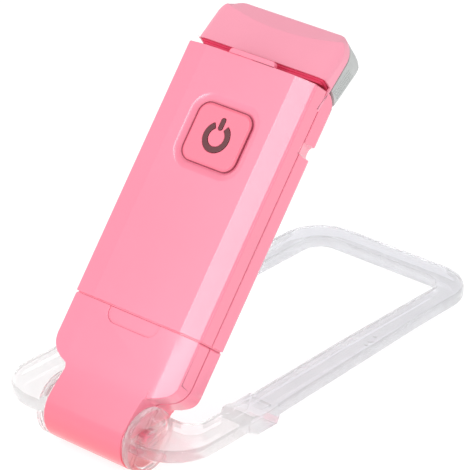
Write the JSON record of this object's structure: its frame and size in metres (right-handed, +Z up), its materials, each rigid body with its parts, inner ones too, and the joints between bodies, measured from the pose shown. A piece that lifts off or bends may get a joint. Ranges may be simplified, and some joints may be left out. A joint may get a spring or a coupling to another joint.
{
  "type": "clip-on reading lamp",
  "caption": "Slim rechargeable reading lamp with a tilting head, a push button, a pull-off cap over its plug and a clear loop bracket that serves as stand and page clip.",
  "frame": {"origin": "on the table under the middle of the footprint", "axes": "+X along the bracket pivot, +Y from the pivot toward the far end of the bracket, +Z up from the table"},
  "size_m": [0.055, 0.1084, 0.0765],
  "materials": {
    "clear_plastic": "clear, polished",
    "pink_gloss": "gloss",
    "deep_pink": "matte",
    "steel": "plain",
    "white_plastic": "matte",
    "circuit_board": "matte",
    "black_plastic": "matte",
    "cell_foil": "foil",
    "grey_foam": "foam",
    "gold_contact": "gold plated",
    "pink_button": "satin",
    "maroon_ink": "gloss",
    "pink_satin": "satin",
    "frosted_lens": "frosted",
    "led_emitter": "phosphor"
  },
  "bodies": {
    "bracket": {"bracket": "clear_plastic"},
    "cap": {"cap_front": "pink_gloss", "cap_rear": "pink_gloss", "plug_liner": "white_plastic", "pivot_bush_right": "deep_pink", "pivot_bush_left": "deep_pink", "cap_screw_1": "steel", "cap_screw_2": "steel"},
    "housing": {"front_shell": "pink_gloss", "rear_shell": "pink_gloss", "main_board": "circuit_board", "control_chip": "black_plastic", "charge_chip": "black_plastic", "boost_coil": "black_plastic", "battery_cell": "cell_foil", "battery_pad": "grey_foam", "tact_switch": "black_plastic", "usb_board": "circuit_board", "usb_shell": "steel", "usb_tongue": "white_plastic", "usb_contact_1": "gold_contact", "usb_contact_2": "gold_contact", "usb_contact_3": "gold_contact", "usb_contact_4": "gold_contact", "hinge_pin": "steel", "shell_screw_1": "steel", "shell_screw_2": "steel", "shell_screw_3": "steel", "shell_screw_4": "steel"},
    "button": {"power_button": "pink_button", "symbol_ring": "maroon_ink", "symbol_bar": "maroon_ink"},
    "head": {"head_cover": "pink_satin", "head_base": "deep_pink", "head_lens": "frosted_lens", "led_board": "white_plastic", "led_1": "led_emitter", "led_2": "led_emitter", "led_3": "led_emitter", "led_4": "led_emitter", "led_5": "led_emitter"}
  },
  "joints": [
    {"name": "bracket_hinge", "type": "hinge", "parent": "bracket", "child": "cap", "pos_m": [0, -0.04698, 0.0071], "axis": [1, 0, 0], "range_deg": [-40, 128]},
    {"name": "cap_pull", "type": "slide", "parent": "cap", "child": "housing", "axis": [0, 0.6771, 0.7359], "range_m": [0, 0.022]},
    {"name": "button_press", "type": "slide", "parent": "housing", "child": "button", "axis": [0, 0.7359, -0.6771], "range_m": [0, 0.0004], "stiffness_N_per_m": 800, "springref_m": -0.0005},
    {"name": "head_tilt", "type": "hinge", "parent": "housing", "child": "head", "pos_m": [0, 0.00448, 0.06466], "axis": [1, 0, 0], "range_deg": [-45, 0]}
  ]
}
